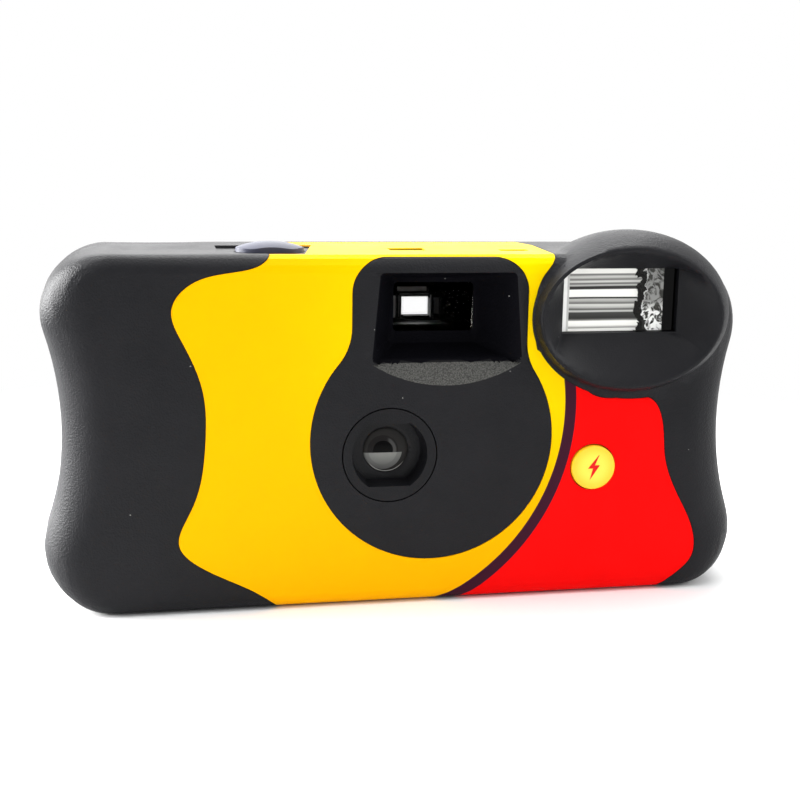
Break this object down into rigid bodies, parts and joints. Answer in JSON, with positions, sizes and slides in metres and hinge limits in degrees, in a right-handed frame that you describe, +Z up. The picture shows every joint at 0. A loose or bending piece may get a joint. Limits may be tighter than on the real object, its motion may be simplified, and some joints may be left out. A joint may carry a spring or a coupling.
{
  "type": "disposable film camera",
  "caption": "Single-use 35 mm film camera with a built-in flash, a keyhole viewfinder panel and a yellow and red wrap.",
  "frame": {"origin": "middle of the footprint on the surface that the camera stands on", "axes": "+Z up, +X to the viewer's right of the front, and the front faces -Y"},
  "size_m": [0.118, 0.032, 0.0613],
  "materials": {
    "case_black": "moulded with a fine matte grain",
    "inner_black": "plain matte moulding",
    "label_print": "printed and glazed wrap in plain colour fields",
    "button_blue": "satin moulded key",
    "clear_plastic": "clear moulded optics",
    "dial_white": "white moulded dial",
    "film_base": "thin glossy film base",
    "cartridge_skin": "plain printed steel can",
    "spring_steel": "spring steel wire and leaf",
    "reflector_bright": "bright polished reflector",
    "board_green": "lacquered circuit board",
    "can_sleeve": "shrunk plastic sleeve",
    "coil_copper": "wound copper wire",
    "charge_yellow": null,
    "cell_steel": "plain painted cell jacket",
    "neon_glass": "small glass lamp"
  },
  "bodies": {
    "case": {"front_cover": "case_black", "back_cover": "case_black", "label": "label_print", "lens_retainer": "inner_black", "taking_lens": "clear_plastic", "viewfinder_front_lens": "clear_plastic", "viewfinder_rear_lens": "clear_plastic", "main_frame": "inner_black", "cartridge_shell": "cartridge_skin", "lower_cartridge_cap": "spring_steel", "upper_cartridge_cap": "spring_steel", "film_strip": "film_base", "works_cover": "inner_black", "strike_spring": "spring_steel", "blade_spring": "spring_steel", "counter_window": "clear_plastic", "ready_window": "clear_plastic", "flash_lens": "clear_plastic", "flash_reflector": "reflector_bright", "flash_tube": "neon_glass", "ready_lamp": "neon_glass", "circuit_board": "board_green", "flash_capacitor": "can_sleeve", "charging_transformer": "coil_copper", "trigger_coil": "coil_copper", "flash_switch_spring": "spring_steel", "sync_contact": "spring_steel", "battery": "cell_steel", "positive_contact": "spring_steel", "negative_contact": "spring_steel"},
    "winder": {"thumbwheel": "inner_black", "cartridge_spool": "inner_black"},
    "supply": {"supply_spool": "inner_black", "film_roll": "film_base"},
    "sprocket": {"sprocket_wheel": "dial_white"},
    "counter": {"counter_dial": "dial_white"},
    "metering": {"metering_lever": "dial_white"},
    "striker": {"strike_lever": "dial_white"},
    "blade": {"shutter_blade": "inner_black"},
    "release": {"shutter_button": "button_blue"},
    "charger": {"flash_button": "charge_yellow"},
    "door": {"film_door": "case_black"}
  },
  "joints": [
    {"name": "wind", "type": "hinge", "parent": "case", "child": "winder", "pos_m": [-0.0407, 0.0016, 0.053], "axis": [0, 0, 1], "continuous": true},
    {"name": "sprocket_turn", "type": "hinge", "parent": "case", "child": "sprocket", "pos_m": [-0.0215, 0.0074, 0.046], "axis": [0, 0, 1], "continuous": true},
    {"name": "supply_turn", "type": "hinge", "parent": "case", "child": "supply", "pos_m": [0.0355, 0.0045, 0.0254], "axis": [0, 0, 1], "continuous": true},
    {"name": "counter_turn", "type": "hinge", "parent": "case", "child": "counter", "pos_m": [-0.005, 0.0028, 0.0549], "axis": [0, 0, 1], "continuous": true},
    {"name": "metering_swing", "type": "hinge", "parent": "case", "child": "metering", "pos_m": [-0.014, 0.0075, 0.0516], "axis": [0, 0, 1], "range_deg": [0, 8], "stiffness_Nm_per_rad": 0.002},
    {"name": "strike_swing", "type": "hinge", "parent": "case", "child": "striker", "pos_m": [-0.0125, 0, 0.0497], "axis": [0, 0, 1], "range_deg": [0, 25], "stiffness_Nm_per_rad": 0.002},
    {"name": "blade_swing", "type": "hinge", "parent": "case", "child": "blade", "pos_m": [-0.0075, -0.006, 0.037], "axis": [0, -1, 0], "range_deg": [0, 38], "stiffness_Nm_per_rad": 0.002},
    {"name": "release_press", "type": "slide", "parent": "case", "child": "release", "axis": [0, 0, -1], "range_m": [0, 0.0012], "stiffness_N_per_m": 400},
    {"name": "charge_press", "type": "slide", "parent": "case", "child": "charger", "axis": [0, 1, 0], "range_m": [0, 0.0008], "stiffness_N_per_m": 400},
    {"name": "door_swing", "type": "hinge", "parent": "case", "child": "door", "pos_m": [-0.02855, 0.0015, 0.0009], "axis": [0, -1, 0], "range_deg": [0, 95]}
  ],
  "couplings": [
    {"joint": "sprocket_turn", "follows": "wind", "ratio": 1.2},
    {"joint": "supply_turn", "follows": "wind", "ratio": 0.82},
    {"joint": "counter_turn", "follows": "wind", "ratio": -0.03}
  ]
}
